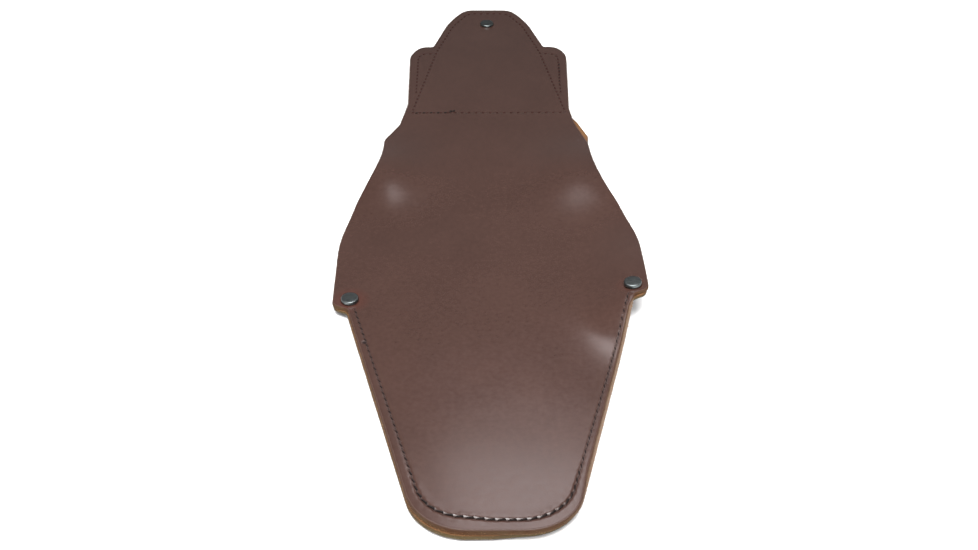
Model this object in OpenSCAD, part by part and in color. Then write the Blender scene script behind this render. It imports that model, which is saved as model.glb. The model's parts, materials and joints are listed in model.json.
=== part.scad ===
// A fold-over leather case, opened out flat: a sewn and riveted tapered pocket, a fold section,
// and a closing flap that ends in a bell-shaped tongue with a snap.
// +Y runs from the rounded pocket end to the tongue, +Z is the grain side, and z = 0 is the table.

/* [Main sheet] */
// Overall length, from the rounded bottom to the tip of the tongue
case_length = 481; // [470:1:500]
// Widest width, just above the pocket's mouth
case_width = 160; // [150:1:166]
// Thickness of the main sheet
sheet_thickness = 2.8; // [2.2:0.1:3.2]
// Straight part of the bottom edge, with its corner curves left out
bottom_width = 65.4; // [60:0.2:70]
// Radius of the two bottom corners
bottom_radius = 27; // [20:1:30]

/* [Pocket] */
// Distance of the ledge below each rivet from the bottom edge
ledge_distance = 145; // [140:1:148]
// Distance of the pocket's mouth from the bottom edge
mouth_distance = 172; // [168:1:180]
// Thickness of the pocket panel
panel_thickness = 2.8; // [2.2:0.1:3.2]

/* [Folds] */
// Distance of the first fold from the bottom edge
first_fold = 225; // [215:1:230]
// Distance between the two folds, which is the closed case's depth
fold_depth = 35; // [30:1:38]
// Clearance between two sections at a fold
fold_gap = 0.3; // [0.2:0.05:0.5]

/* [Neck and tongue] */
// Width across the two shoulders at the top of the neck
neck_width = 102.4; // [102:0.2:104]
// Distance of the top of the shoulders from the bottom edge
shoulder_distance = 427; // [420:1:432]
// Width of the tongue where it leaves the shoulders
tongue_width = 74; // [70:1:74]
// Distance of the row across the neck from the bottom edge
neck_row_distance = 340; // [336:1:344]
// Thickness of the bell-shaped flap lining
lining_thickness = 1.4; // [1:0.1:1.8]
// Thickness of the neck backing
backing_thickness = 1.8; // [1.4:0.1:2]
// How far the neck backing sits to the right of the main sheet
backing_shift = 1.2; // [0:0.1:1.4]

/* [Rivets and snap] */
// Radius of a rivet's cap
rivet_radius = 4.5; // [4:0.1:5]
// Height of a rivet's domed cap
rivet_dome = 1.9; // [1.5:0.1:2.2]
// Distance of each rivet from the centre line
rivet_offset = 70.5; // [70:0.1:71.5]
// Distance of the rivets from the bottom edge
rivet_distance = 153.5; // [152.5:0.5:158]
// Distance of the snap's cap from the bottom edge
snap_distance = 459; // [456:1:462]
// Radius of the snap's cap
snap_radius = 4.6; // [4:0.1:5]
// Height of the snap's domed cap
snap_dome = 1.6; // [1.2:0.1:2]
// Height of the snap's stud
stud_height = 2.6; // [2.2:0.1:3]
// Distance of the snap's stud from the bottom edge, where the closed tongue meets it
stud_distance = 28; // [26:1:30]

/* [Stitching] */
// Distance from one stitch to the next
stitch_pitch = 4.23; // [3.8:0.01:5]
// Diameter of the thread
thread_diameter = 0.9; // [0.6:0.1:1.2]

/* [Hidden] */
$fn = 64;

grain_colour = [0.36, 0.28, 0.26];
flesh_colour = [0.60, 0.40, 0.22];
thread_colour = [0.16, 0.10, 0.09];
metal_colour = [0.36, 0.37, 0.39];

// Heights of the layers, from the table up
panel_z = stud_height;
sheet_z = panel_z + panel_thickness;
grain_z = sheet_z + sheet_thickness;
lining_z = sheet_z - lining_thickness;
backing_z = lining_z - backing_thickness;

second_fold = first_fold + fold_depth;
arc_step = 9;
ledge_width = 141.2;
ledge_rise = 4.6;
bulge_distance = 206;
waist_distance = 272;
waist_width = 127.2;
step_distance = 303;
step_width = 120.6;
nape_distance = 327;
nape_width = 103.4;
neck_start = 349;
neck_start_width = 99.2;
shoulder_radius = 12;
flank_distance = 460.4;
flank_width = 56;
brow_distance = 472.6;
brow_width = 43.4;
tongue_tip_width = 32.8;
lip_distance = 311;
lip_width = 116;
lining_inset = 0.6;
seam_inset = 5.4;
shoulder_seam_drop = 10;
rivet_pin_radius = 1.5;
pin_clearance = 0.05;
stitch_length = 0.72 * stitch_pitch;
big = 400;

// One corner [x, distance, radius] of a path, rounded: its arc as points
function corner(before, at, after) =
    let (
        p = [at.x, at.y],
        u = [before.x, before.y] - p,
        v = [after.x, after.y] - p,
        u1 = u / norm(u),
        v1 = v / norm(v),
        half = acos(max(-1, min(1, u1 * v1))) / 2,
        reach = at.z / tan(half),
        centre = p + (u1 + v1) / norm(u1 + v1) * at.z / sin(half),
        first = p + u1 * reach - centre,
        side = sign(u1.x * v1.y - u1.y * v1.x),
        turn = 180 - 2 * half,
        steps = max(2, ceil(turn / arc_step))
    )
    at.z == 0 ? [p] :
    [for (i = [0 : steps])
        let (a = -side * turn * i / steps)
        centre + [first.x * cos(a) - first.y * sin(a), first.x * sin(a) + first.y * cos(a)]];

// A path of corners [x, distance, radius], with every corner between its two ends rounded
function rounded(path) =
    [[path[0].x, path[0].y],
     for (i = [1 : len(path) - 2]) each corner(path[i - 1], path[i], path[i + 1]),
     [path[len(path) - 1].x, path[len(path) - 1].y]];

function mirrored(path) = [for (i = [len(path) - 1 : -1 : 0]) [-path[i].x, path[i].y]];

// Lengths along a path at each of its points
function lengths(path, i = 0, so_far = 0) =
    i == len(path) - 1 ? [so_far] :
    concat([so_far], lengths(path, i + 1, so_far + norm(path[i + 1] - path[i])));

// The point at one length along a path, and the path's direction there
function on_path(path, along, l) =
    let (
        i = max([for (k = [0 : len(path) - 2]) l[k] <= along ? k : 0]),
        d = (path[i + 1] - path[i]) / (l[i + 1] - l[i])
    )
    [path[i] + d * (along - l[i]), atan2(d.y, d.x)];

// Corners of the main sheet's right half, from the bottom edge to the tip
sheet_corners = [
    [0, 0, 0],
    [bottom_width / 2, 0, bottom_radius],
    [ledge_width / 2, ledge_distance, 3],
    [case_width / 2 - 0.7, ledge_distance + ledge_rise, 5],
    [case_width / 2 - 0.2, bulge_distance, 130],
    [waist_width / 2, waist_distance, 170],
    [step_width / 2, step_distance, 8],
    [nape_width / 2, nape_distance, 9],
    [neck_start_width / 2, neck_start, 30],
    [neck_width / 2, shoulder_distance, shoulder_radius],
    [tongue_width / 2, shoulder_distance, 1.5],
    [flank_width / 2, flank_distance, 60],
    [brow_width / 2, brow_distance, 25],
    [tongue_tip_width / 2, case_length, 6],
    [0, case_length, 0]
];

// Corners of the pocket panel's right half, the same as the sheet's up to the mouth
panel_corners = [
    [0, 0, 0],
    [bottom_width / 2, 0, bottom_radius],
    [ledge_width / 2, ledge_distance, 3],
    [case_width / 2 - 0.7, ledge_distance + ledge_rise, 5],
    [case_width / 2 - 0.6, mouth_distance, 4],
    [0, mouth_distance, 0]
];

// Corners of the neck backing's right half, with an angular lip below the neck row
backing_corners = [
    [0, 299, 0],
    [lip_width / 2 - 1.6, 299, 2],
    [lip_width / 2, lip_distance, 0.5],
    [nape_width / 2 - 1.1, nape_distance + 2, 9],
    [neck_start_width / 2 - 0.7, neck_start, 30],
    [neck_width / 2 - lining_inset, shoulder_distance - lining_inset, shoulder_radius - lining_inset],
    [0, shoulder_distance - lining_inset, 0]
];

// Corners of the bell-shaped lining's right half
bell_corners = [
    [0, neck_row_distance - 4, 0],
    [neck_start_width / 2 - 1.2, neck_row_distance - 4, 1],
    [tongue_width / 2 + 3, shoulder_distance - 34, 120],
    [tongue_width / 2 - 1, shoulder_distance, 60],
    [flank_width / 2 - lining_inset, flank_distance, 60],
    [brow_width / 2 - lining_inset, brow_distance, 24],
    [tongue_tip_width / 2 - lining_inset, case_length - lining_inset, 5.4],
    [0, case_length - lining_inset, 0]
];

// Moves a path from distances to the part's own y, where y = 0 is the middle of the length
function placed(path) = [for (p = path) [p.x, p.y - case_length / 2]];

module outline(corners) {
    half = placed(rounded(corners));
    polygon(concat(half, mirrored(half)));
}

module layer(corners, z, thickness) {
    translate([0, 0, z])
        linear_extrude(thickness)
            outline(corners);
}

// All of the sheet between two distances from the bottom edge
module between(low, high) {
    intersection() {
        children();
        translate([-big / 2, low - case_length / 2, -big / 2])
            cube([big, high - low, big]);
    }
}

module at(x, distance, z) {
    translate([x, distance - case_length / 2, z])
        children();
}

module pin_hole(x, distance) {
    at(x, distance, -1)
        cylinder(r = rivet_pin_radius + pin_clearance, h = grain_z + 2);
}

// A shallow domed cap, flat side down
module dome(radius, height) {
    ball = (radius * radius + height * height) / 2 / height;
    intersection() {
        translate([0, 0, height - ball])
            sphere(r = ball);
        cylinder(r = radius, h = height);
    }
}

// One half-round stitch, flat side down, centred at the origin
module stitch() {
    rotate([90, 0, 90])
        linear_extrude(stitch_length, center = true)
            polygon([for (a = [0 : 30 : 180]) thread_diameter / 2 * [cos(a), sin(a)]]);
}

// A row of stitches along a path, on the grain face and on a bottom face.
// Beyond the shoulders there is no backing, so the bottom face there is the lining's.
module seam(path, bottom) {
    l = lengths(path);
    total = l[len(l) - 1];
    count = floor(total / stitch_pitch);
    for (i = [0 : count - 1]) {
        spot = on_path(path, (i + 0.5) * total / count, l);
        at(spot[0].x, spot[0].y, grain_z)
            rotate([0, 0, spot[1]])
                stitch();
        at(spot[0].x, spot[0].y, spot[0].y > shoulder_distance ? lining_z : bottom)
            mirror([0, 0, 1])
                rotate([0, 0, spot[1]])
                    stitch();
    }
}

// Paths of the seams, as corners on the right half
pocket_seam_path = rounded([
    [0, 7.2, 0],
    [bottom_width / 2 - 4.5, 7.2, 20],
    [rivet_offset - 2.9, rivet_distance - 6, 0]
]);
tongue_seam_path = rounded([
    [0, case_length - 4.4, 0],
    [tongue_tip_width / 2 - 1, case_length - 4.4, 5],
    [flank_width / 2 - 3.2, flank_distance - 3.4, 30],
    [tongue_width / 2 - 2.8, shoulder_distance - 7, 80],
    [neck_start_width / 2 - 2.8, neck_row_distance + 4, 0]
]);
shoulder_seam_path = rounded([
    [tongue_width / 2 + 0.6, shoulder_distance - shoulder_seam_drop, 0],
    [neck_width / 2 - seam_inset, shoulder_distance - shoulder_seam_drop, 6],
    [neck_width / 2 - seam_inset, neck_row_distance + 24, 0]
]);

module sheet_holes() {
    for (side = [-1, 1])
        pin_hole(side * rivet_offset, rivet_distance);
    pin_hole(0, snap_distance);
}

module sheet_section(low, high) {
    color(grain_colour)
        difference() {
            between(low, high)
                layer(sheet_corners, sheet_z, sheet_thickness);
            sheet_holes();
        }
}

module sheet_pocket_section() {
    sheet_section(-1, first_fold - fold_gap / 2);
}

module sheet_spine_section() {
    sheet_section(first_fold + fold_gap / 2, second_fold - fold_gap / 2);
}

module sheet_flap_section() {
    sheet_section(second_fold + fold_gap / 2, case_length + 1);
}

// The stud's post has a flat head, let into the panel's inner face
stud_head_radius = 5;
stud_head_thickness = 0.6;

module pocket_panel() {
    color(flesh_colour)
        difference() {
            layer(panel_corners, panel_z, panel_thickness);
            for (side = [-1, 1])
                pin_hole(side * rivet_offset, rivet_distance);
            pin_hole(0, stud_distance);
            at(0, stud_distance, sheet_z - stud_head_thickness)
                cylinder(r = stud_head_radius + pin_clearance, h = 1);
        }
}

module neck_backing() {
    color(flesh_colour)
        translate([backing_shift, 0, 0])
            layer(backing_corners, backing_z, backing_thickness);
}

module flap_lining() {
    color(flesh_colour)
        difference() {
            layer(bell_corners, lining_z, lining_thickness);
            pin_hole(0, snap_distance);
        }
}

module pocket_seam_thread() {
    color(thread_colour)
        seam(concat(mirrored(pocket_seam_path), pocket_seam_path), panel_z);
}

module neck_row_thread() {
    half = neck_start_width / 2 - 2;
    color(thread_colour)
        seam([[-half, neck_row_distance], [half, neck_row_distance]], backing_z);
}

module tongue_seam_thread() {
    whole = concat(mirrored(tongue_seam_path), tongue_seam_path);
    color(thread_colour)
        seam([for (i = [len(whole) - 1 : -1 : 0]) whole[i]], backing_z);
}

module shoulder_thread(side) {
    color(thread_colour)
        seam([for (p = shoulder_seam_path) [side * p.x, p.y]], backing_z);
}

module left_shoulder_thread() {
    shoulder_thread(-1);
}

module right_shoulder_thread() {
    shoulder_thread(1);
}

module rivet_cap(side) {
    color(metal_colour)
        at(side * rivet_offset, rivet_distance, grain_z)
            dome(rivet_radius, rivet_dome);
}

module rivet_post(side) {
    color(metal_colour)
        at(side * rivet_offset, rivet_distance, 0) {
            translate([0, 0, panel_z])
                cylinder(r = rivet_pin_radius, h = grain_z - panel_z);
            translate([0, 0, panel_z])
                mirror([0, 0, 1])
                    dome(rivet_radius, rivet_dome);
        }
}

module left_rivet_cap() {
    rivet_cap(-1);
}

module left_rivet_post() {
    rivet_post(-1);
}

module right_rivet_cap() {
    rivet_cap(1);
}

module right_rivet_post() {
    rivet_post(1);
}

// Sizes of the snap's two halves
socket_radius = 5.5;
socket_height = 2.8;
socket_bore = 3.1;
socket_plate = 0.6;
stud_knob_radius = 2.8;
stud_knob = 1.2;
stud_neck_start = 1;
stud_neck_radius = 2.3;
stud_flange_radius = 5.2;
stud_flange = 0.6;

module snap_cap() {
    color(metal_colour)
        at(0, snap_distance, grain_z) {
            dome(snap_radius, snap_dome);
            translate([0, 0, lining_z - grain_z])
                cylinder(r = rivet_pin_radius, h = grain_z - lining_z);
        }
}

module snap_socket() {
    color(metal_colour)
        at(0, snap_distance, lining_z - socket_height)
            difference() {
                cylinder(r = socket_radius, h = socket_height);
                translate([0, 0, -1])
                    cylinder(r = socket_bore, h = socket_height - socket_plate + 1);
            }
}

module snap_stud() {
    color(metal_colour)
        at(0, stud_distance, 0) {
            translate([0, 0, stud_height - stud_flange])
                cylinder(r = stud_flange_radius, h = stud_flange);
            translate([0, 0, stud_neck_start])
                cylinder(r = stud_neck_radius, h = stud_height - stud_flange - stud_neck_start);
            cylinder(r = stud_knob_radius, h = stud_knob);
        }
}

module snap_stud_post() {
    color(metal_colour)
        at(0, stud_distance, 0) {
            translate([0, 0, sheet_z - stud_head_thickness])
                cylinder(r = stud_head_radius, h = stud_head_thickness);
            translate([0, 0, panel_z])
                cylinder(r = rivet_pin_radius, h = panel_thickness - stud_head_thickness);
        }
}

sheet_pocket_section();
sheet_spine_section();
sheet_flap_section();
pocket_panel();
neck_backing();
flap_lining();
pocket_seam_thread();
neck_row_thread();
tongue_seam_thread();
left_shoulder_thread();
right_shoulder_thread();
left_rivet_cap();
left_rivet_post();
right_rivet_cap();
right_rivet_post();
snap_cap();
snap_socket();
snap_stud();
snap_stud_post();
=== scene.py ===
"""Looks of the fold-over leather case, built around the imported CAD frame.

Lengths are in millimetres until a mesh is made. A point on the case is (x, d, z): x across, d the
distance from the rounded bottom edge, z the height over the table.
"""
import json
import math

import bmesh
import bpy
import numpy as np
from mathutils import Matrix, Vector, noise
from mathutils.geometry import delaunay_2d_cdt


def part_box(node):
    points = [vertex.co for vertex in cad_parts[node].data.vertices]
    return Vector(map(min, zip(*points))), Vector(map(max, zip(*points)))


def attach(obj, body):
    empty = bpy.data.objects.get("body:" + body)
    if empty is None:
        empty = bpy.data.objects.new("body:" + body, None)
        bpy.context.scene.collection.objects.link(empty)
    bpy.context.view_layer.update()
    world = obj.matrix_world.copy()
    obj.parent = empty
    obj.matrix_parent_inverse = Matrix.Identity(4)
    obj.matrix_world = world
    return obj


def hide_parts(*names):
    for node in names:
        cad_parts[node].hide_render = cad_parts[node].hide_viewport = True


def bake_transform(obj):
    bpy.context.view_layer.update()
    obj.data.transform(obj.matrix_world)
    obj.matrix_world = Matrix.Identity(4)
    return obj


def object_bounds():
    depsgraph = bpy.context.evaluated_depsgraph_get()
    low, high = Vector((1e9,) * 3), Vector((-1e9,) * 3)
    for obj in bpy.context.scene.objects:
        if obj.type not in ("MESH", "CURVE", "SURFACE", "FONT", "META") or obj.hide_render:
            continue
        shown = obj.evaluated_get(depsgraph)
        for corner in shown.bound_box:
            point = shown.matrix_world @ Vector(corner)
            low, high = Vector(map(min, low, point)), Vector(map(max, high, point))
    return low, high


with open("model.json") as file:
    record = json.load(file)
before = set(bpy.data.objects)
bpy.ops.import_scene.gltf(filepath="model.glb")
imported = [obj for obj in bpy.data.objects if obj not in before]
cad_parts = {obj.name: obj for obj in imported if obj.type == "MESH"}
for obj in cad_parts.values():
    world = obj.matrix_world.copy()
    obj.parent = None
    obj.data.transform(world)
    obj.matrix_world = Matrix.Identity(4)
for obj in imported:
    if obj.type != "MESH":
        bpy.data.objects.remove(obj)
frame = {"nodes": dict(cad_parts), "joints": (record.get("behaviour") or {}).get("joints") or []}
cad_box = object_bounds()

MM = 0.001
LENGTH = (cad_box[1].y - cad_box[0].y) / MM


def node_box(node):
    """Lowest and highest (x, d, z) of a CAD node."""
    low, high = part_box(node)
    return [(p.x / MM, p.y / MM + LENGTH / 2, p.z / MM) for p in (low, high)]


def node_centre(node):
    low, high = node_box(node)
    return (low[0] + high[0]) / 2, (low[1] + high[1]) / 2


# ---------------------------------------------------------------- heights and places from the frame
PANEL_LOW = node_box("pocket_panel")[0][2]
SHEET_LOW = node_box("sheet_pocket_section")[0][2]
GRAIN = node_box("sheet_pocket_section")[1][2]
LINING_LOW = node_box("flap_lining")[0][2]
BACKING_LOW = node_box("neck_backing")[0][2]
MOUTH = node_box("pocket_panel")[1][1]
FIRST_FOLD, SECOND_FOLD = (j["pos_m"][1] / MM + LENGTH / 2 for j in frame["joints"])
SHOULDER = node_box("neck_backing")[1][1] + 1.2
LINING_THICKNESS = SHEET_LOW - LINING_LOW
SOCKET_D = node_centre("snap_socket")[1]
STUD_D = node_centre("snap_stud")[1]
# The bottom of the pocket comes down to this height over the table
REST_GAP = 0.7
SINK = PANEL_LOW - REST_GAP

# ---------------------------------------------------------------- outlines
# The distance between needle holes, then places along d and half widths across
PITCH = 4.4
LEDGE = 145.0
NECK_ROW = 340.0
NECK = 51.2
NECK_START = 49.6
TONGUE = 36.4
TIP = 15.6
BOTTOM = 32.7
LINING_INSET = 0.6
RIVET_X, RIVET_D = node_centre("right_rivet_cap")

# The hand-cut sides differ a little: [x, d, radius] from the widest part up to the neck
LEFT_WAIST = [(80.2, 206, 110), (73.5, 239, 60), (61.8, 276, 120), (61.9, 306.5, 12), (53.9, 326, 8),
              (49.9, 352, 30)]
RIGHT_WAIST = [(78.4, 204, 110), (70.3, 238, 70), (59.5, 266, 120), (58.2, 300, 5), (51.6, 328, 10),
               (49.5, 346, 20)]
LEFT_LEDGE = [(BOTTOM - 1.5, 0.4, 28), (71.3, LEDGE + 1.8, 3), (79.2, LEDGE + 5.2, 4)]
RIGHT_LEDGE = [(BOTTOM + 0.8, 0.3, 26), (70.5, LEDGE + 0.9, 3), (78.3, LEDGE + 5.0, 5)]


def sheet_corners(side):
    """Corners [x, d, radius] of one half of the main sheet, from the bottom edge to the tip."""
    return [
        (0, 0.4, 0),
        *(LEFT_LEDGE + LEFT_WAIST if side < 0 else RIGHT_LEDGE + RIGHT_WAIST),
        (NECK + (0.3 if side > 0 else 0), SHOULDER - 13, 16),
        (NECK - (2.0 if side > 0 else 2.9), SHOULDER - 6, 8),
        (NECK - 6.6, SHOULDER, 8),
        (TONGUE + (0.4 if side > 0 else 0), SHOULDER, 1.5),
        (27.5, SHOULDER + 33.4, 60),
        (21.3, LENGTH - 8.4, 30),
        (TIP, LENGTH, 11),
        (0, LENGTH, 0),
    ]


def panel_corners(side):
    """The panel stands a little proud of the sheet at the bottom left and back from it elsewhere."""
    left = [(BOTTOM - 1.4, 0.0, 27), (71.6, LEDGE + 1.6, 3), (78.8, LEDGE + 5.0, 5), (79.2, MOUTH, 4)]
    right = [(BOTTOM + 0.7, 3.6, 26), (69.3, LEDGE - 0.4, 3), (77.3, LEDGE + 4.0, 5), (77.8, MOUTH, 4)]
    return [(0, 0.3, 0), *(left if side < 0 else right), (0, MOUTH, 0)]


def backing_corners(side):
    """The neck's backing, which shows as a tan sliver beside the right of the neck."""
    lip = [(58.2, 303, 2), (59.4, 314.8, 1.5), (49.1, 349, 14)]
    if side < 0:
        lip = [(56.0, 303, 2), (56.6, 314, 1.5), (49.0, 352, 30)]
    return [
        (0, 303, 0),
        *lip,
        (NECK - LINING_INSET, SHOULDER - 12.2, 15),
        (NECK - (2.8 if side > 0 else 3.7), SHOULDER - 6.5, 7.5),
        (NECK - 7.4, SHOULDER - LINING_INSET, 7.5),
        (0, SHOULDER - LINING_INSET, 0),
    ]


def bell_corners(side):
    """The flap's lining, held by the bell-shaped seam. Both its sides are alike."""
    return [
        (0, NECK_ROW - 4, 0),
        (NECK_START - 1.2, NECK_ROW - 4, 1.5),
        (TONGUE + 3, SHOULDER - 34, 120),
        (TONGUE - 1, SHOULDER, 60),
        (27.5 - LINING_INSET, SHOULDER + 33.4, 60),
        (21.3 - LINING_INSET, LENGTH - 8.4, 28),
        (TIP - LINING_INSET, LENGTH - LINING_INSET, 10),
        (0, LENGTH - LINING_INSET, 0),
    ]


def arc(before, at, after, step=math.radians(5)):
    """The points of one rounded corner (x, d, radius) of a path."""
    p = Vector(at[:2])
    if at[2] == 0:
        return [p]
    u = (Vector(before[:2]) - p).normalized()
    v = (Vector(after[:2]) - p).normalized()
    half = u.angle(v) / 2
    centre = p + (u + v).normalized() * at[2] / math.sin(half)
    first = p + u * at[2] / math.tan(half) - centre
    turn = (math.pi - 2 * half) * (-1 if u.cross(v) > 0 else 1)
    steps = max(2, math.ceil(abs(turn) / step))
    made = []
    for i in range(steps + 1):
        a = turn * i / steps
        made.append(centre + Vector((first.x * math.cos(a) - first.y * math.sin(a),
                                     first.x * math.sin(a) + first.y * math.cos(a))))
    return made


def rounded(path):
    """A path with its corners (x, d, radius) turned into arcs."""
    made = [Vector(path[0][:2])]
    for before, at, after in zip(path, path[1:], path[2:]):
        made += arc(before, at, after)
    return made + [Vector(path[-1][:2])]


def mirrored(path):
    return [Vector((-p.x, p.y)) for p in reversed(path)]


def spaced(points, spacing, closed=False):
    """The same line as points a fixed distance apart, as an array."""
    line = np.array([tuple(p) for p in points] + ([tuple(points[0])] if closed else []), float)
    step = np.hypot(*np.diff(line, axis=0).T)
    keep = np.r_[True, step > 1e-6]
    line = line[keep]
    along = np.r_[0, np.cumsum(np.hypot(*np.diff(line, axis=0).T))]
    count = max(2, round(along[-1] / spacing))
    at = np.linspace(0, along[-1], count + 1)
    if closed:
        at = at[:-1]
    return np.c_[np.interp(at, along, line[:, 0]), np.interp(at, along, line[:, 1])]


def outline(corners, spacing=1.0):
    """A closed outline, anticlockwise, of the right half and the left half of a shape."""
    right = rounded(corners(1))
    left = mirrored(rounded(corners(-1)))
    return spaced(right + left, spacing, closed=True)


def inward(loop):
    """The unit normal into the shape at each point of an anticlockwise loop."""
    tangent = np.roll(loop, -1, 0) - np.roll(loop, 1, 0)
    tangent /= np.hypot(*tangent.T)[:, None]
    return np.c_[-tangent[:, 1], tangent[:, 0]]


# ---------------------------------------------------------------- seams
class Seam:
    """A row of stitches. Points a stitch apart are its needle holes, and tension says how far its
    thread sinks into the leather."""

    def __init__(self, path, tension):
        self.holes = spaced(path, PITCH)
        self.line = spaced(path, PITCH / 6)
        self.tension = tension

    def near(self, x, d):
        """Distance of each point from the seam, and from its nearest needle hole."""
        point = np.c_[x, d]
        distances = []
        for targets in (self.line, self.holes):
            nearest = np.full(len(point), 1e9)
            for start in range(0, len(targets), 64):
                gap = point[:, None, :] - targets[None, start:start + 64, :]
                nearest = np.minimum(nearest, (gap ** 2).sum(2).min(1))
            distances.append(np.sqrt(nearest))
        return distances


def both_sides(left, right):
    """One line across the middle from two half lines, each given as if on the right."""
    return mirrored(left) + right


def pocket_half(corner):
    """Half of the pocket's seam, from the middle of the bottom up to just below a rivet."""
    return rounded([(0, 6.2, 0), corner, (RIVET_X - 2.9, RIVET_D - 7.5, 0)])


def straight(x, d, end_x, end_d):
    return [Vector((x, d)), Vector((end_x, end_d))]


tongue_half = rounded([
    (0, LENGTH - 5.4, 0), (TIP - 2, LENGTH - 5.4, 6), (23.8, LENGTH - 24, 30),
    (33.9, SHOULDER - 7, 80), (NECK_START - 2.8, NECK_ROW + 2, 0)])
pocket_seam = Seam(both_sides(pocket_half((28.6, 9.9, 22)), pocket_half((29.8, 6.0, 24))), 1.0)
neck_row = Seam(straight(0.8 - NECK_START, NECK_ROW, NECK_START - 3.6, NECK_ROW), 0.35)
tongue_seam = Seam(both_sides(tongue_half, tongue_half)[::-1], 0.35)
shoulder_seams = [
    Seam([Vector((side * p.x, p.y)) for p in rounded([
        (TONGUE - 0.6, SHOULDER - 10, 0), (NECK - 5.4, SHOULDER - 10, 6),
        (NECK - 5.8, NECK_ROW + 24, 0)])], 0.35)
    for side in (-1, 1)
]
TOP_SEAMS = [neck_row, tongue_seam, *shoulder_seams]
# Where the top seams were sewn over a second time, and the knot that ends one of them
second_pass = [
    ("neck_second_pass", Seam(straight(-46.6, NECK_ROW - 0.3, -24.4, NECK_ROW + 0.1), 0.0)),
    ("shoulder_second_pass", Seam(straight(45.2, 373, 46.3, 404), 0.0)),
]
knot = Seam(straight(-24.3, NECK_ROW + 1.0, -20.7, NECK_ROW + 1.8), 0.0)
# A needle hole that was pulled wide open; its black is painted shade inside the hole, over a shallow
# dip
OPEN_HOLES = [(-60.9, 120.6)]


def tightness(d):
    """1 along the bottom, where the pocket's seam is pulled tight, falling to 0 up its sides."""
    t = np.clip((np.asarray(d, float) - 12) / 34, 0, 1)
    return 1 - t * t * (3 - 2 * t)


# What stitching presses into a face: depth and width, and how far from the seam the pucker stands
GROOVE_DEPTH, GROOVE_WIDTH = 0.22, 0.6
HOLE_DEPTH, HOLE_WIDTH = 0.40, 0.55
PUCKER_HEIGHT, PUCKER_AWAY, PUCKER_WIDTH = 0.11, 1.35, 0.65
SHADE_WIDTH = 0.4
SEAM_REACH = 4


def press(seams, x, d):
    """How far stitching changes the height of a face, and how dark it leaves it: a groove along
    the thread, a dip at each needle hole, and puckers of leather between the holes. The darkness is
    painted shade in the groove and the needle holes, together with wax from the thread."""
    depth = np.zeros(len(x))
    shade = np.zeros(len(x))
    for seam in seams:
        tension = seam.tension * (0.28 + 0.72 * tightness(d) if seam is pocket_seam else 1)
        low, high = seam.line.min(0) - SEAM_REACH, seam.line.max(0) + SEAM_REACH
        close = (x > low[0]) & (x < high[0]) & (d > low[1]) & (d < high[1])
        if not close.any():
            continue
        to_line, to_hole = seam.near(x[close], d[close])
        between = 1 - np.exp(-(to_hole / 1.5) ** 2)
        depth[close] += np.broadcast_to(tension, len(x))[close] * (
            -GROOVE_DEPTH * np.exp(-(to_line / GROOVE_WIDTH) ** 2)
            - HOLE_DEPTH * np.exp(-(to_hole / HOLE_WIDTH) ** 2)
            + PUCKER_HEIGHT * between * np.exp(-((to_line - PUCKER_AWAY) / PUCKER_WIDTH) ** 2))
        # Painted shade along the thread's groove and in each needle hole, together with the thread's
        # wax
        dark = (0.30 * np.exp(-(to_line / SHADE_WIDTH) ** 2)
                + 0.55 * np.exp(-(to_hole / HOLE_WIDTH) ** 2))
        shade[close] = np.maximum(shade[close], dark * seam.tension ** 0.5)
    if pocket_seam in seams:
        # An open hole is painted black: the shade inside it, over a shallow dip
        for hole_x, hole_d in OPEN_HOLES:
            gap = np.hypot(x - hole_x, d - hole_d)
            depth -= 0.5 * np.exp(-(gap / 0.9) ** 2)
            shade = np.maximum(shade, np.exp(-(gap / 1.15) ** 4))
    return depth, shade


# ---------------------------------------------------------------- how the case lies
# The curled right corner of the pocket: its height, its place, and how far it spreads
CURL, CURL_X, CURL_D = 9.9, 72, 147
CURL_ACROSS, CURL_BELOW, CURL_ABOVE = 20, 25, 60
# Humps at the waist: height, x, spread across, d, spread along
HUMPS = [(6.6, -61, 27, 267, 32), (7.3, 53, 31, 265, 37)]
SAG, SAG_D, SAG_SPREAD = 1.2, 236, 34
TIP_RISE, TIP_START, TIP_RUN = 1.0, 440, 40
# No leather lies closer to the table than this
TABLE_GAP = 0.02


def bump(value, centre, width):
    """1 at the centre, falling smoothly to 0 around it."""
    return np.exp(-((value - centre) / width) ** 2)


def lift(x, d):
    """How far the grain of the lying case is from its flat CAD height. The case rests on its snap's
    socket and on the bottom of its pocket, one corner of the pocket curls up, and the bend memory
    of the closed case leaves two low humps and a slight sag at the folds."""
    x, d = np.asarray(x, float), np.asarray(d, float)
    tilt = -SINK * (1 - d / SOCKET_D)
    spread = np.where(d < CURL_D, CURL_BELOW, CURL_ABOVE)
    curl = CURL * bump(np.minimum(x, CURL_X), CURL_X, CURL_ACROSS) * bump(d, CURL_D, spread)
    waist = sum(height * bump(x, hump_x, across) * bump(d, hump_d, along)
                for height, hump_x, across, hump_d, along in HUMPS)
    sag = -SAG * bump(d, SAG_D, SAG_SPREAD)
    tip = TIP_RISE * np.clip((d - TIP_START) / TIP_RUN, 0, 1) ** 2
    return tilt + curl + waist + sag + tip


STUD_RECESS = 7.4
RECESS_SLOPE = 2.8
stud_ring = Seam([Vector((STUD_RECESS * math.cos(a), STUD_D + STUD_RECESS * math.sin(a)))
                  for a in np.linspace(0, 1.97 * math.pi, 40)], 0.0)


def stud_recess(x, d):
    """The leather is pressed in round the snap's stud, which keeps its CAD height."""
    gap = np.hypot(x, d - STUD_D)
    t = np.clip((STUD_RECESS + RECESS_SLOPE / 2 - gap) / RECESS_SLOPE, 0, 1)
    return -lift(0, STUD_D) * t * t * (3 - 2 * t)


def slopes(x, d):
    """How steeply the grain rises along x and along d."""
    return (lift(x + 0.5, d) - lift(x - 0.5, d), lift(x, d + 0.5) - lift(x, d - 0.5))


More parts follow.
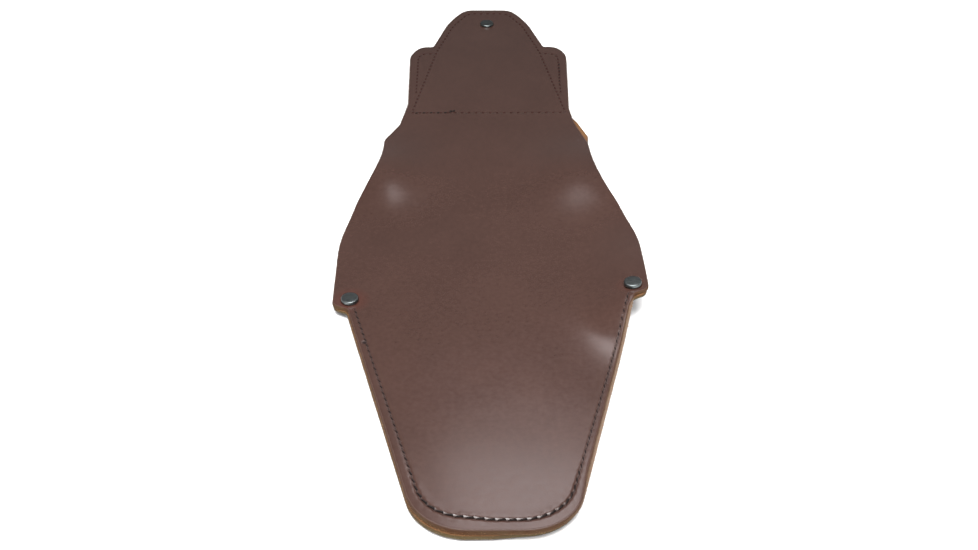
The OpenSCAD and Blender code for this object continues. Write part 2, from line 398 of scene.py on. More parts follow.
def settled(x, d, z):
    """Where points of the flat case come to lie: every layer turns with the slope of the grain."""
    along_x, along_d = slopes(x, d)
    deep = GRAIN - z
    return x + deep * along_x, d + deep * along_d, np.maximum(z + lift(x, d), TABLE_GAP)


PINCH_REACH = 13


def pinch(x, d):
    """1 at a rivet, which squeezes the leather, falling to 0 around it."""
    x, d = np.asarray(x, float), np.asarray(d, float)
    return np.exp(-((np.abs(x) - RIVET_X) ** 2 + (d - RIVET_D) ** 2) / PINCH_REACH ** 2)


def wander(x, d, scale, seed):
    """Smooth noise at each point, from -1 to 1."""
    return np.array([noise.noise(Vector((a * scale, b * scale, seed))) for a, b in zip(x, d)])


def ripple(x, d):
    """The faint unevenness of the whole hide."""
    return wander(x, d, 0.03, 5.0) * 0.12


# ---------------------------------------------------------------- meshes
def to_world(x, d, z):
    return np.c_[x, np.asarray(d) - LENGTH / 2, z] * MM


def new_mesh(name, points, faces, materials, slots=None, smooth=True):
    mesh = bpy.data.meshes.new(name)
    mesh.from_pydata([tuple(p) for p in points], [], [tuple(int(i) for i in f) for f in faces])
    for material in materials:
        mesh.materials.append(material)
    if slots is not None:
        mesh.polygons.foreach_set("material_index", np.asarray(slots, np.int32))
    mesh.polygons.foreach_set("use_smooth", np.full(len(mesh.polygons), smooth))
    mesh.update()
    remember_rest(mesh)
    made = bpy.data.objects.new(name, mesh)
    bpy.context.scene.collection.objects.link(made)
    return made


def remember_rest(mesh):
    """Keeps where each point lies at rest, for the materials."""
    places = np.empty(len(mesh.vertices) * 3, np.float32)
    mesh.vertices.foreach_get("co", places)
    mesh.attributes.new("rest", "FLOAT_VECTOR", "POINT").data.foreach_set("vector", places)


GRID = 2.6
SEAM_ROWS = (-1.7, -1.1, -0.6, 0, 0.6, 1.1, 1.7)
NO_GRID_BESIDE_SEAM = 2.3
RIM_MARGIN = 0.9


def inside_points(loop, seams, margin):
    """Points that fill a shape: a grid, and closer rows beside each seam."""
    low, high = loop.min(0), loop.max(0)
    grid_x = np.arange(low[0], high[0], GRID)
    grid_d = np.arange(low[1], high[1], GRID * 0.87)
    rows = [np.c_[grid_x + (GRID / 2 if i % 2 else 0), np.full(len(grid_x), v)]
            for i, v in enumerate(grid_d)]
    grid = np.concatenate(rows)
    near_seam = np.zeros(len(grid), bool)
    extra = []
    for seam in seams:
        near_seam |= seam.near(grid[:, 0], grid[:, 1])[0] < NO_GRID_BESIDE_SEAM
        tangent = np.gradient(seam.line, axis=0)
        tangent /= np.hypot(*tangent.T)[:, None]
        across = np.c_[-tangent[:, 1], tangent[:, 0]]
        extra += [seam.line + across * offset for offset in SEAM_ROWS]
    return [points[deep_inside(points, loop, margin)]
            for points in ([grid[~near_seam]] + extra)]


def deep_inside(points, loop, margin):
    """Which points are inside a loop and at least margin from it."""
    inside = np.zeros(len(points), bool)
    nearest = np.full(len(points), 1e9)
    following = np.roll(loop, -1, 0)
    for (ax, ay), (bx, by) in zip(loop, following):
        crosses = (ay > points[:, 1]) != (by > points[:, 1])
        if crosses.any():
            at = ax + (points[crosses, 1] - ay) / (by - ay) * (bx - ax)
            inside[np.flatnonzero(crosses)[points[crosses, 0] < at]] ^= True
        nearest = np.minimum(nearest, (points[:, 0] - ax) ** 2 + (points[:, 1] - ay) ** 2)
    return inside & (nearest > margin ** 2)


def fill(loop, points):
    """Triangles over a loop and the points inside it: (points inside, triangles)."""
    every = np.concatenate([loop, *points])
    found, _, faces, sources, _, _ = delaunay_2d_cdt([Vector(p) for p in every], [], [], 0, 1e-5, True)
    index = np.array([min(source) for source in sources])
    faces = index[np.array([list(face) for face in faces])]
    a, b, c = faces.T
    count = len(loop)
    inside = (faces.max(1) >= count) | ((b - a) % count + (c - b) % count < count)
    return every[count:], faces[inside]


# Insets of a slab's rims with their drop from its top, or their gain over its underside
TOP_RIM = [(0.0, 0.34), (0.06, 0.19), (0.18, 0.08), (0.42, 0.025), (1.00, 0.0)]
LOW_RIM = [(0.0, 0.35), (0.12, 0.10), (0.40, 0.0), (1.2, 0.0)]
WALL_ROWS = 5
# How far a rivet pulls up the panel's outer side, and how deep it dimples the grain
PINCH, DIMPLE = 1.9, 0.35
# How far the right cut edge of the pocket leans, where that starts, and how soon it is full
LEAN, LEAN_START, LEAN_RUN = 1.3, 12, 22
LEAN_END, LEAN_END_RUN = LEDGE - 2, 5


def upright(x, d):
    """A cut edge that doesn't lean."""
    return np.zeros(len(x))


def right_lean(x, d):
    """The knife leaned along the right of the pocket, so that its cut edge shows from above."""
    start = np.clip((d - LEAN_START) / LEAN_RUN, 0, 1)
    return LEAN * (x > 0) * start * np.clip((LEAN_END - d) / LEAN_END_RUN, 0, 1)


def slab_rings(loop, low, high, lean):
    """Rings (points, height) round a slab, from its top over the rim and down its wall to its
    underside. The wall bulges a little and is slightly rough."""
    into = inward(loop)
    leaning = into * lean(*loop.T)[:, None]
    rings = [(loop + into * inset + leaning, high - drop) for inset, drop in reversed(TOP_RIM)]
    first, last = high - TOP_RIM[0][1], low + LOW_RIM[0][1]
    for i in range(1, WALL_ROWS):
        t = i / WALL_ROWS
        rough = wander(loop[:, 0], loop[:, 1], 0.55, 3.1 * i + low) * 0.10
        bulge = -0.16 * math.sin(math.pi * t)
        wall = loop + into * (bulge + rough)[:, None] + leaning * (1 - t)
        rings.append((wall, first + (last - first) * t))
    return rings + [(loop + into * inset, low + gain) for inset, gain in LOW_RIM]


TOP, WALL, UNDERSIDE = range(3)


def side_faces(ring_count, count):
    """The quads between neighbouring rings of count points, and the material slot of each."""
    faces, slots = [], []
    for k in range(1, ring_count):
        a, b = (k - 1) * count, k * count
        for i in range(count):
            j = (i + 1) % count
            faces.append((a + i, b + i, b + j, a + j))
        slot = TOP if k < len(TOP_RIM) else WALL if k < len(TOP_RIM) + WALL_ROWS else UNDERSIDE
        slots += [slot] * count
    return faces, slots


def slab(loop, low, high, seams, low_seams, lean):
    """The points, faces and material slots of a closed slab, with fine rows beside its seams."""
    count = len(loop)
    rings = slab_rings(loop, low, high, lean)
    faces, slots = side_faces(len(rings), count)
    points = [np.c_[ring, np.full(count, z)] for ring, z in rings]
    last = (len(rings) - 1) * count
    for (ring, z), own, slot, offset in (
            (rings[0], seams, TOP, 0), (rings[-1], low_seams, UNDERSIDE, last)):
        made = sum(len(part) for part in points)
        places, triangles = fill(ring, inside_points(ring, own, RIM_MARGIN))
        points.append(np.c_[places, np.full(len(places), z)])
        placed = np.where(triangles < count, triangles + offset, triangles - count + made)
        faces += list(placed if slot == TOP else placed[:, ::-1])
        slots += [slot] * len(triangles)
    return np.concatenate(points), faces, slots


def leather(name, corners, low, high, materials, seams=(), low_seams=(), rise=None, grain_up=True,
            recess=None, lean=upright):
    """A closed slab of leather between two heights, with worn rims, a slightly fibrous cut edge,
    and grooves under its stitches. materials are for its top, its cut edge and its underside.
    rise(x, d) is added to the height of both faces, and recess is a round hollow in the underside,
    as a ring of points round it and its depth(x, d). lean(x, d) is how far the cut edge leans in
    from the underside to the top. The "depth" attribute runs from 0 on the grain side to 1 on the
    flesh side, and "sewn" is 1 where stitching darkens the grain with painted shade in its groove
    and needle holes and with wax from its thread."""
    under = [*low_seams, recess[0]] if recess else low_seams
    points, faces, slots = slab(outline(corners), low, high, seams, under, lean)
    x, d, z = points.T
    share = (z - low) / (high - low)
    upper = share > 0.5
    z += PINCH * pinch(x, d) * (GRAIN - z) / (GRAIN - PANEL_LOW)
    shade = np.zeros(len(z))
    pressed, shade[upper] = press(seams, x[upper], d[upper])
    z[upper] += pressed - DIMPLE * pinch(x[upper], d[upper]) ** 4
    pressed, shade[~upper] = press(low_seams, x[~upper], d[~upper])
    z[~upper] -= pressed
    if rise:
        z += rise(x, d)
    if recess:
        z[~upper] += recess[1](x[~upper], d[~upper])
    z += ripple(x, d)
    made = new_mesh(name, to_world(*settled(x, d, z)), faces, materials, slots)
    # The stitch attribute carries painted shade at the grooves and needle holes as well as thread wax
    for attribute, values in (("depth", 1 - share if grain_up else share), ("sewn", shade)):
        data = made.data.attributes.new(attribute, "FLOAT", "POINT").data
        data.foreach_set("value", values.astype(np.float32))
    return made


# ---------------------------------------------------------------- materials
def material(name):
    made = bpy.data.materials.new(name)
    made.use_nodes = True
    tree = made.node_tree
    return made, tree, tree.nodes["Principled BSDF"]


def plug(tree, socket, value):
    """Links a value that is another node's socket, and sets a constant on the socket itself."""
    if isinstance(value, bpy.types.NodeSocket):
        tree.links.new(value, socket)
    else:
        socket.default_value = value


def add(tree, kind, inputs=(), **settings):
    """A new node with its settings and inputs."""
    node = tree.nodes.new(kind)
    for key, value in settings.items():
        setattr(node, key, value)
    for key, value in dict(inputs).items():
        plug(tree, node.inputs[key], value)
    return node


def finish_shader(tree, shader, colour, roughness, specular):
    plug(tree, shader.inputs["Base Color"], colour)
    plug(tree, shader.inputs["Roughness"], roughness)
    plug(tree, shader.inputs["Specular IOR Level"], specular)


def ramp(tree, value, stops):
    """A colour that runs through stops (place, colour) as the value rises."""
    node = add(tree, "ShaderNodeValToRGB", {"Fac": value})
    ends = node.color_ramp.elements
    while len(ends) < len(stops):
        ends.new(0.5)
    for end, (place, colour) in zip(ends, stops):
        end.position = place
        end.color = (*colour, 1)
    return node.outputs["Color"]


def mixed(tree, share, first, second):
    """first where share is 0 and second where it is 1; each is a socket or a colour."""
    node = add(tree, "ShaderNodeMix", data_type="RGBA")
    for key, kind, value in (("Factor", "VALUE", share), ("A", "RGBA", first), ("B", "RGBA", second)):
        socket = next(i for i in node.inputs if i.name == key and i.type == kind)
        plug(tree, socket, (*value, 1) if isinstance(value, tuple) else value)
    return next(o for o in node.outputs if o.type == "RGBA")


def maths(tree, operation, *values):
    return add(tree, "ShaderNodeMath", dict(enumerate(values)), operation=operation).outputs[0]


def mapped(tree, value, low, high, to_low, to_high):
    return add(tree, "ShaderNodeMapRange", {
        "Value": value, "From Min": low, "From Max": high,
        "To Min": to_low, "To Max": to_high}).outputs["Result"]


def noise_at(tree, place, scale, detail=4, roughness=0.6):
    return add(tree, "ShaderNodeTexNoise", {
        "Vector": place, "Scale": scale, "Detail": detail, "Roughness": roughness}).outputs["Fac"]


def bumped(tree, layers, shader):
    """Stacks (height, strength, distance) bumps into a shader's normal."""
    normal = None
    for height, strength, distance in layers:
        inputs = {"Height": height, "Strength": strength, "Distance": distance}
        if normal:
            inputs["Normal"] = normal
        normal = add(tree, "ShaderNodeBump", inputs).outputs["Normal"]
    tree.links.new(normal, shader.inputs["Normal"])


def attribute(tree, name, output="Fac"):
    return add(tree, "ShaderNodeAttribute", attribute_name=name).outputs[output]


def rest_place(tree):
    """Where a point is before any joint moves, so that patterns stay fixed to the leather."""
    return attribute(tree, "rest", "Vector")


# Painted shade in the stitches' grooves and needle holes, mixed with wax from the thread
NEEDLE_SHADE_AND_WAX = (0.008, 0.005, 0.005)
RUBBED_RIM = (0.052, 0.026, 0.017)
RUBBED_DEPTH = 0.035
WORN_EDGE = (0.070, 0.044, 0.022)
FRAYED_EDGE = (0.165, 0.112, 0.077)


def near_rivets(tree, place):
    """How far a point is from the nearer rivet, in metres."""
    gaps = []
    for side in (-1, 1):
        rivet = (side * RIVET_X * MM, (RIVET_D - LENGTH / 2) * MM, GRAIN * MM)
        gap = add(tree, "ShaderNodeVectorMath", {0: place, 1: rivet}, operation="DISTANCE")
        gaps.append(gap.outputs["Value"])
    return maths(tree, "MINIMUM", *gaps)


def grain_leather(name, light, dark, stain, roughness=0.19):
    """Smooth finished hide: fine pebble grain, cloudy dye, pores and a satin finish. The dye is a
    little redder round the rivets, and the rims are rubbed dull."""
    made, tree, shader = material(name)
    place = rest_place(tree)
    cloud = noise_at(tree, place, 24, 5)
    mottle = noise_at(tree, place, 420, 3, 0.6)
    blend = maths(tree, "MULTIPLY", maths(tree, "ADD", cloud, mottle), 1 / 2)
    colour = ramp(tree, blend, [(0.30, dark), (0.70, light)])
    halo = mapped(tree, near_rivets(tree, place), 0.005, 0.011, 0.45, 0.0)
    # Painted shade at the stitches and the open hole, with the thread's wax, darkens the grain here
    sewn = attribute(tree, "sewn")
    colour = mixed(tree, sewn, mixed(tree, halo, colour, stain), NEEDLE_SHADE_AND_WAX)
    rubbed = mapped(tree, attribute(tree, "depth"), 0.0, RUBBED_DEPTH, 0.0, 0.9)
    colour = mixed(tree, rubbed, colour, RUBBED_RIM)
    dull = maths(tree, "MAXIMUM", sewn, rubbed)
    satin = mapped(tree, mottle, 0.3, 0.7, roughness - 0.02, roughness + 0.03)
    rough = maths(tree, "ADD", satin, maths(tree, "MULTIPLY", dull, 0.6))
    finish_shader(tree, shader, colour, rough, mapped(tree, dull, 0.0, 1.0, 0.5, 0.05))
    pebble = noise_at(tree, place, 640, 2)
    pores = noise_at(tree, place, 1700, 1)
    rolls = noise_at(tree, place, 130, 2)
    bumped(tree, [(rolls, 0.02, 0.0010), (pebble, 0.03, 0.0004), (pores, 0.08, 0.0002)], shader)
    return made


def cut_edge(name, stops):
    """The cut edge: dyed near the grain, paler through the core to the flesh, and fibrous. Where the
    grain side lies next to the table, its colour is partly painted contact shade. Along the right of
    the pocket, below the ledge, it is frayed and pale."""
    made, tree, shader = material(name)
    place = rest_place(tree)
    fibre = noise_at(tree, place, 1300, 6, 0.7)
    patch = noise_at(tree, place, 90, 3)
    depth = maths(tree, "ADD", attribute(tree, "depth"), mapped(tree, fibre, 0.3, 0.7, -0.12, 0.12))
    colour = ramp(tree, depth, stops)
    colour = mixed(tree, mapped(tree, patch, 0.4, 0.62, 0.0, 0.55), colour, WORN_EDGE)
    axes = add(tree, "ShaderNodeSeparateXYZ", {"Vector": place}).outputs
    right = mapped(tree, axes["X"], 0.030, 0.045, 0.0, 1.0)
    ledge = (LEDGE - LENGTH / 2) * MM
    below = mapped(tree, axes["Y"], ledge, ledge - 0.004, 0.0, 1.0)
    deep = mapped(tree, depth, 0.15, 0.45, 0.0, 1.0)
    frayed = maths(tree, "MULTIPLY", deep, maths(tree, "MULTIPLY", right, below))
    finish_shader(tree, shader, mixed(tree, frayed, colour, FRAYED_EDGE), 0.8, 0.1)
    bumped(tree, [(fibre, 0.6, 0.0005)], shader)
    return made


def raw_leather(name, light, dark, scale, roughness=0.9, strength=0.6):
    """Undyed leather: the suede-like flesh side, or a smooth lining."""
    made, tree, shader = material(name)
    place = rest_place(tree)
    fibre = noise_at(tree, place, scale, 8, 0.7)
    patch = noise_at(tree, place, scale / 14, 3)
    blend = maths(tree, "MULTIPLY", maths(tree, "ADD", fibre, patch), 0.5)
    colour = ramp(tree, blend, [(0.40, dark), (0.60, light)])
    finish_shader(tree, shader, colour, roughness, 0.25)
    bumped(tree, [(fibre, strength, 0.0005)], shader)
    return made


def thread_material(name, light, dark):
    """Waxed thread, with the fine twist of its strands."""
    made, tree, shader = material(name)
    strand = noise_at(tree, rest_place(tree), 2600, 3)
    colour = ramp(tree, strand, [(0.35, dark), (0.7, light)])
    finish_shader(tree, shader, colour, 0.65, 0.12)
    bumped(tree, [(strand, 0.5, 0.0002)], shader)
    return made


def gunmetal_material():
    """Dark plating with a brushed haze and fine wear."""
    made, tree, shader = material("gunmetal")
    place = add(tree, "ShaderNodeTexCoord").outputs["Object"]
    brushed = add(tree, "ShaderNodeMapping", {"Vector": place, "Scale": (0.35, 2.4, 1.0)})
    haze = noise_at(tree, brushed.outputs["Vector"], 900, 4)
    colour = ramp(tree, haze, [(0.35, (0.105, 0.12, 0.12)), (0.65, (0.165, 0.18, 0.18))])
    plug(tree, shader.inputs["Base Color"], colour)
    plug(tree, shader.inputs["Metallic"], 1.0)
    plug(tree, shader.inputs["Roughness"], mapped(tree, haze, 0.3, 0.7, 0.26, 0.40))
    bumped(tree, [(haze, 0.10, 0.0002)], shader)
    return made


GRAIN_LEATHER = grain_leather("grain_leather", (0.0440, 0.0222, 0.0174), (0.0313, 0.0153, 0.0119),
                              stain=(0.056, 0.0165, 0.0115))
SHEET_EDGE = cut_edge("sheet_cut_edge", [
    (0.05, (0.038, 0.017, 0.010)), (0.40, (0.054, 0.021, 0.009)), (0.85, (0.070, 0.030, 0.012)),
    (1.0, (0.10, 0.048, 0.020))])
# Its olive colour next to the table is partly the panel's dark grain side and partly painted contact
# shade
LOWER_EDGE = cut_edge("lower_cut_edge", [
    (0.05, (0.100, 0.084, 0.050)), (0.45, (0.082, 0.062, 0.030)), (0.85, (0.068, 0.040, 0.016)),
    (1.0, (0.10, 0.048, 0.020))])
FLESH = raw_leather("flesh_side", (0.145, 0.068, 0.028), (0.095, 0.042, 0.017), 500, strength=0.4)
FIBRE = raw_leather("loose_fibre", (0.42, 0.25, 0.13), (0.24, 0.12, 0.050), 500, strength=0.2)
LINING = raw_leather("lining_side", (0.36, 0.19, 0.090), (0.27, 0.135, 0.060), 260, 0.6, 0.15)
THREAD = thread_material("waxed_thread", (0.014, 0.009, 0.008), (0.005, 0.0035, 0.0035))
FLAP_THREAD = thread_material("brown_thread", (0.031, 0.0105, 0.0085), (0.018, 0.0060, 0.0050))
GUNMETAL = gunmetal_material()


# ---------------------------------------------------------------- stitches
SIDES = 8
RINGS = 11


class Thread:
    """How a seam is sewn: the thread's radius, how far each stitch leans, how much of the distance
    between two needle holes it shows, and how deep it sinks into the leather."""

    def __init__(self, material, radius, lean, shown, sink):
        self.material = material
        self.radius = radius
        self.lean = lean
        self.shown = shown
        self.sink = sink


POCKET_THREAD = Thread(THREAD, 0.56, 0.46, 0.90, 0.20)
TOP_THREAD = Thread(FLAP_THREAD, 0.72, 0.08, 0.45, 0.38)
SECOND_THREAD = Thread(THREAD, 0.62, 0.10, 0.50, 0.30)
KNOT_THREAD = Thread(THREAD, 0.85, 0.55, 1.10, 0.10)


def stitch(a, b, thread, face, out, random):
    """The points of one stitch between two needle holes: a two-ply thread that rises thin out of
    one and dives thick into the next. The pocket's stitches are bolder where they are tight."""
    along = (b - a) / np.hypot(*(b - a))
    normal = np.array([-along[1], along[0]])
    middle = (a + b) / 2 + normal * random.uniform(-0.06, 0.06)
    tight = float(tightness(middle[1])) if thread is POCKET_THREAD else 1
    shown = thread.shown * (0.68 + 0.32 * tight)
    half = (b - a) / 2 * shown + normal * thread.lean * random.uniform(0.85, 1.15)
    bold = (0.68 + 0.42 * tight if thread is POCKET_THREAD else 1) * random.uniform(0.92, 1.08)
    points = []
    for r in range(RINGS):
        t = 2 * r / (RINGS - 1) - 1
        centre = middle + half * t
        arch = math.cos(math.pi / 2 * abs(t) ** 1.6)
        ground = float(face(centre[0], centre[1]))
        radius = thread.radius * bold * (0.74 + 0.34 * t) * (0.50 + 0.50 * arch ** 0.5)
        height = ground + out * (-thread.sink - 0.34 * (1 - arch) + 0.30 * arch)
        for s in range(SIDES):
            angle = 2 * math.pi * s / SIDES
            ply = 1 + 0.14 * math.cos(2 * angle + 6.5 * t)
            place = centre + normal * math.cos(angle) * radius * ply
            points.append((place[0], place[1], height + math.sin(angle) * radius * ply))
    return points


def stitch_faces(base):
    """The faces of the stitch whose points start at base."""
    faces = []
    for r in range(RINGS - 1):
        low, high = base + r * SIDES, base + (r + 1) * SIDES
        for s in range(SIDES):
            n = (s + 1) % SIDES
            faces.append((low + s, low + n, high + n, high + s))
    faces.append([base + s for s in reversed(range(SIDES))])
    faces.append([base + (RINGS - 1) * SIDES + s for s in range(SIDES)])
    return faces


def stitches(name, seam, thread, face, down=False):
    """Leaning stitches along a seam. face(x, d) is the height of the leather there."""
    points, faces = [], []
    random = np.random.default_rng(len(seam.holes) + down)
    for a, b in zip(seam.holes, seam.holes[1:]):
        faces += stitch_faces(len(points))
        points += stitch(a, b, thread, face, -1 if down else 1, random)
    x, d, z = np.array(points).T
    return new_mesh(name, to_world(*settled(x, d, z + ripple(x, d))), faces, [thread.material])


FIBRES = 420
# Radius of a loose fibre at shares of its length
FIBRE_TAPER = ((0.0, 0.085), (0.5, 0.065), (1.0, 0.02))


def fibres(name, corners, low, high):
    """Short loose fibres of the flesh that stand out of the raw edge round the pocket."""
    random = np.random.default_rng(FIBRES + len(name))
    loop = outline(corners, 0.5)
    into = inward(loop)
    round_pocket = np.flatnonzero(loop[:, 1] < LEDGE - 2)
    points, faces = [], []
    for i in random.choice(round_pocket, FIBRES, replace=False):
        away = -into[i] * random.uniform(0.5, 1.0)
        aside = np.array([into[i][1], -into[i][0]])
        away += aside * random.uniform(-0.9, 0.9)
        reach, rise = random.uniform(0.35, 1.15), random.uniform(-0.5, 0.4)
        height = random.uniform(low, high)
        base = len(points)
        for share, radius in FIBRE_TAPER:
            centre = loop[i] + into[i] * 0.25 + away * reach * share
            for s in range(3):
                angle = 2 * math.pi * s / 3
                place = centre + aside * radius * math.cos(angle)
                points.append((*place, height + rise * share ** 2 + radius * math.sin(angle)))
        for ring in (base, base + 3):
            for s in range(3):
                n = (s + 1) % 3
                faces.append((ring + s, ring + n, ring + 3 + n, ring + 3 + s))
        faces += [(base + 2, base + 1, base), (base + 6, base + 7, base + 8)]
    return new_mesh(name, to_world(*settled(*np.array(points).T)), faces, [FIBRE])


def top_face(x, d):
    """Height of the flat grain side, with its dimples at the rivets."""
    return GRAIN - DIMPLE * pinch(x, d) ** 4


def panel_face(x, d):
    """Height of the panel's outer side, pulled up by the rivets."""
    return PANEL_LOW + PINCH * pinch(x, d)


BACKING_SIDE_RUN = 4
BACKING_END_RUN = 8


def backing_rise(x, d):
    """The backing comes up to the sheet outside the bell-shaped lining."""
    flank = np.interp(d, [NECK_ROW, SHOULDER], [NECK_START - 1, TONGUE])
    beside = np.clip((np.abs(x) - flank) / BACKING_SIDE_RUN, 0, 1)
    above = np.clip((np.asarray(d) - NECK_ROW) / BACKING_END_RUN, 0, 1)
    below = np.clip((NECK_ROW - np.asarray(d)) / BACKING_END_RUN, 0, 1)
    return LINING_THICKNESS * (beside * above + (1 - above) * below)


def backing_face(x, d):
    """Height of the flap's hidden side."""
    if d > SHOULDER:
        return LINING_LOW
    return BACKING_LOW + backing_rise(x, d)


# ---------------------------------------------------------------- turned metal
def turned(name, x, d, z, profile, down=False, segments=40):
    """A round metal piece: profile is (radius, height) from its axis outwards and back to it."""
    points, faces = [], []
    flip = -1 if down else 1
    slope_x, slope_d = (float(v) for v in slopes(x, d))
    level = z + float(lift(x, d))
    for radius, height in profile:
        deep = GRAIN - z - flip * height
        for s in range(segments):
            angle = 2 * math.pi * s / segments
            across, along = radius * math.cos(angle), radius * math.sin(angle)
            tilt = across * slope_x + along * slope_d
            points.append((x + across + deep * slope_x, d + along + deep * slope_d,
                           level + flip * height + tilt))
    for k in range(len(profile) - 1):
        inner, outer = k * segments, (k + 1) * segments
        for s in range(segments):
            n = (s + 1) % segments
            quad = (inner + s, inner + n, outer + n, outer + s)
            faces.append(quad if down else quad[::-1])
    last = (len(profile) - 1) * segments
    caps = [list(range(segments)), [last + s for s in reversed(range(segments))]]
    faces += [cap[::-1] if down else cap for cap in caps]
    xs, ds, zs = np.array(points).T
    return new_mesh(name, to_world(xs, ds, np.maximum(zs, 0.0)), faces, [GUNMETAL])


def cap_profile(radius, height):
    """A broad, slightly crowned cap with a rolled rim, from its crown down to its underside."""
    flat, crown, roll = 0.88 * radius, 0.07, 0.42
    profile = [(0.02, height)]
    for i in range(1, 7):
        t = i / 6
        profile.append((flat * t, height - crown * t ** 2))
    for i in range(1, 9):
        a = math.pi / 2 * i / 8
        profile.append((flat + (radius - flat) * math.sin(a),
                        roll + (height - crown - roll) * math.cos(a)))
    profile += [(radius, 0.25), (radius - 0.12, 0.05), (radius - 0.6, -0.15), (0.02, -0.15)]
    return profile


def place_rivet(where):
    """Both ends of one rivet, the left or the right one."""
    low, high = node_box(f"{where}_rivet_cap")
    x, d = (low[0] + high[0]) / 2, (low[1] + high[1]) / 2
    radius = (high[0] - low[0]) / 2
    height = high[2] - GRAIN
    for end, z, down in (("cap", GRAIN, False), ("post", PANEL_LOW + PINCH, True)):
        made = turned(f"{where}_rivet_{end}_metal", x, d, z, cap_profile(radius, height), down)
        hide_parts(f"{where}_rivet_{end}")
        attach(made, "pocket")


# ---------------------------------------------------------------- the case
# The snap's cap was set a little off the middle of the tongue
SNAP_ASIDE, SNAP_ALONG, SNAP_HEIGHT = 0.6, 0.8, 1.6


def split_at(made, distance, low_name, high_name):
    """Cuts a sheet across at one distance from the bottom edge, into two closed pieces."""
    halves = []
    for name, keep_high in ((low_name, False), (high_name, True)):
        mesh = bmesh.new()
        mesh.from_mesh(made.data)
        plane = Vector((0, (distance - LENGTH / 2) * MM, 0))
        bmesh.ops.bisect_plane(
            mesh, geom=mesh.verts[:] + mesh.edges[:] + mesh.faces[:], plane_co=plane, dist=1e-7,
            plane_no=(0, 1, 0), clear_outer=not keep_high, clear_inner=keep_high)
        rim = [e for e in mesh.edges if e.is_boundary]
        caps = bmesh.ops.contextual_create(mesh, geom=rim)["faces"]
        for face in caps:
            face.material_index = WALL
            face.smooth = False
            for edge in face.edges:
                edge.smooth = False
        data = bpy.data.meshes.new(name)
        mesh.to_mesh(data)
        mesh.free()
        for slot in made.data.materials:
            data.materials.append(slot)
        half = bpy.data.objects.new(name, data)
        bpy.context.scene.collection.objects.link(half)
        halves.append(half)
    bpy.data.objects.remove(made)
    return halves


sheet = leather("sheet", sheet_corners, SHEET_LOW, GRAIN, [GRAIN_LEATHER, SHEET_EDGE, FLESH],
                seams=[pocket_seam, *TOP_SEAMS], lean=right_lean)
lower, upper = split_at(sheet, (FIRST_FOLD + SECOND_FOLD) / 2, "main_sheet_lower", "main_sheet_upper")
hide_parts("sheet_pocket_section", "sheet_spine_section")
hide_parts("sheet_flap_section")
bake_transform(lower)
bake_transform(upper)

panel = leather("pocket_panel_leather", panel_corners, PANEL_LOW, SHEET_LOW,
                [FLESH, LOWER_EDGE, GRAIN_LEATHER], low_seams=[pocket_seam], grain_up=False,
                recess=(stud_ring, stud_recess))
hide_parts("pocket_panel")
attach(panel, "pocket")

lining = leather("bell_lining_leather", bell_corners, LINING_LOW, SHEET_LOW,
                 [FLESH, LOWER_EDGE, LINING], low_seams=[tongue_seam], grain_up=False)
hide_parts("flap_lining")
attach(lining, "flap")

backing = leather("neck_backing_leather", backing_corners, BACKING_LOW, LINING_LOW,
                  [FLESH, LOWER_EDGE, LINING], low_seams=TOP_SEAMS, rise=backing_rise, grain_up=False)
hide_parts("neck_backing")
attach(backing, "flap")

LEFT_SHOULDER, RIGHT_SHOULDER = shoulder_seams
# Name, seam, thread, CAD node, body, and the face that its hidden stitches lie on
SEWN = [
    ("pocket_seam", pocket_seam, POCKET_THREAD, "pocket_seam_thread", "pocket", panel_face),
    ("neck_row", neck_row, TOP_THREAD, "neck_row_thread", "flap", backing_face),
    ("tongue_seam", tongue_seam, TOP_THREAD, "tongue_seam_thread", "flap", backing_face),
    ("left_shoulder_seam", LEFT_SHOULDER, TOP_THREAD, "left_shoulder_thread", "flap", backing_face),
    ("right_shoulder_seam", RIGHT_SHOULDER, TOP_THREAD, "right_shoulder_thread", "flap", backing_face),
]
for name, seam, thread, node, body, low_face in SEWN:
    for made in (stitches(f"{name}_top_stitches", seam, thread, top_face),
                 stitches(f"{name}_back_stitches", seam, thread, low_face, down=True)):
        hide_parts(node)
        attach(made, body)

for name, seam in second_pass:
    made = stitches(name, seam, SECOND_THREAD, top_face)
    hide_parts("neck_row_thread" if name.startswith("neck") else "right_shoulder_thread")
    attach(made, "flap")
knot_piece = stitches("neck_knot", knot, KNOT_THREAD, top_face)
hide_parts("neck_row_thread")
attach(knot_piece, "flap")

for name, corners, low, high in (
        ("sheet_edge_fibres", sheet_corners, SHEET_LOW, GRAIN - 1.0),
        ("panel_edge_fibres", panel_corners, PANEL_LOW + 0.6, SHEET_LOW)):
    made = fibres(name, corners, low, high)
    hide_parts("sheet_pocket_section" if name.startswith("sheet") else "pocket_panel")
    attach(made, "pocket")

place_rivet("left")
place_rivet("right")

snap_low, snap_high = node_box("snap_cap")
snap_radius = (snap_high[0] - snap_low[0]) / 2
snap_x, snap_d = node_centre("snap_cap")
snap_top = turned("snap_cap_metal", snap_x - SNAP_ASIDE, snap_d + SNAP_ALONG, GRAIN,
                  cap_profile(snap_radius, SNAP_HEIGHT))
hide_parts("snap_cap")
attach(snap_top, "flap")
for name in ("snap_socket", "snap_stud", "snap_stud_post"):
    frame["nodes"][name].data.materials.clear()
    frame["nodes"][name].data.materials.append(GUNMETAL)


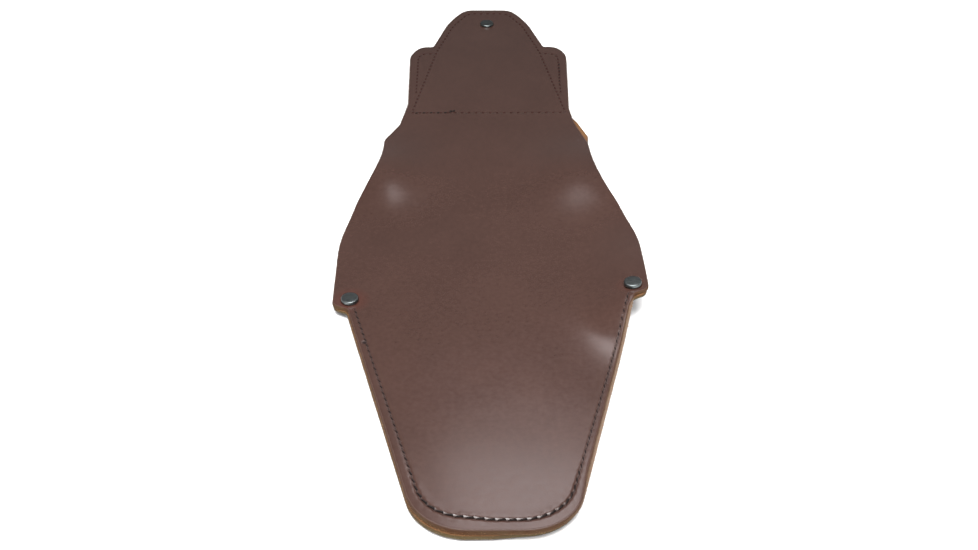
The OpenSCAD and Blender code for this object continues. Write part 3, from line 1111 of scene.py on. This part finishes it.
# ---------------------------------------------------------------- stage, light and camera
def floor_material():
    """White laminate, very faintly uneven."""
    made, tree, shader = material("white_table")
    place = add(tree, "ShaderNodeTexCoord").outputs["Object"]
    soft = add(tree, "ShaderNodeTexNoise", {"Vector": place, "Scale": 3, "Detail": 2})
    colour = ramp(tree, soft.outputs["Fac"], [(0.3, (0.92, 0.92, 0.915)), (0.7, (0.94, 0.94, 0.94))])
    plug(tree, shader.inputs["Base Color"], colour)
    plug(tree, shader.inputs["Roughness"], 0.6)
    return made


TABLE_HALF = 4.0


def stage():
    corners = [(x * TABLE_HALF, y * TABLE_HALF, 0) for x, y in ((-1, -1), (1, -1), (1, 1), (-1, 1))]
    made = new_mesh("table_top", corners, [(0, 1, 2, 3)], [floor_material()], smooth=False)


WHITE = (1, 1, 1)
WORLD_STRENGTH = 0.20
# Name, place, target, size, power and colour of each soft light
LIGHTS = [
    ("overhead_softbox", (0.0, -0.35, 1.30), (0, -0.05, 0), (1.7, 1.3), 24.2, WHITE),
    ("low_softbox", (0.0, -0.22, 0.52), (0, -0.08, 0), (0.5, 0.28), 5.8, WHITE),
    ("far_window", (0.06, 0.41, 0.745), (0.005, -0.24, 0), (0.22, 0.19), 0.63, (1.0, 0.92, 0.93)),
    ("camera_side_fill", (0.12, -1.10, 0.50), (0, -0.1, 0), (0.8, 0.35), 5.0, WHITE),
]


def area_light(name, place, target, size, power, colour):
    data = bpy.data.lights.new(name, "AREA")
    data.shape = "RECTANGLE"
    data.size, data.size_y = size
    data.energy = power
    data.color = colour
    made = bpy.data.objects.new(name, data)
    bpy.context.scene.collection.objects.link(made)
    made.location = place
    made.rotation_euler = (Vector(target) - Vector(place)).to_track_quat("-Z", "Y").to_euler()


def lights():
    world = bpy.data.worlds.new("studio")
    world.use_nodes = True
    bpy.context.scene.world = world
    sky = world.node_tree.nodes["Background"].inputs
    sky["Color"].default_value = (*WHITE, 1)
    sky["Strength"].default_value = WORLD_STRENGTH
    for light in LIGHTS:
        area_light(*light)


# The camera's height over the table, its distance back from the bottom edge, how far down it
# looks, how far it stands to the left, and the slope of the case's axis against its own
CAMERA_HEIGHT, CAMERA_BACK = 0.4118, 0.3697
CAMERA_DOWN = math.radians(36.663)
CAMERA_LEFT, CAMERA_DRIFT = 0.0018, 0.0059
SENSOR_WIDTH, LENS_IN_PICTURE_WIDTHS = 36, 1321 / 978


def camera():
    """The view from the rounded end, looking down along the case."""
    data = bpy.data.cameras.new("view")
    data.sensor_width = SENSOR_WIDTH
    data.lens = SENSOR_WIDTH * LENS_IN_PICTURE_WIDTHS
    data.clip_start, data.clip_end = 0.01, 20
    made = bpy.data.objects.new("view", data)
    bpy.context.scene.collection.objects.link(made)
    made.location = (-CAMERA_LEFT - CAMERA_DRIFT * CAMERA_BACK, -LENGTH / 2 * MM - CAMERA_BACK,
                     CAMERA_HEIGHT)
    made.rotation_euler = (math.pi / 2 - CAMERA_DOWN, 0, -math.atan(CAMERA_DRIFT))
    bpy.context.scene.camera = made


stage()
lights()
camera()
bpy.context.scene.view_settings.view_transform = "Standard"
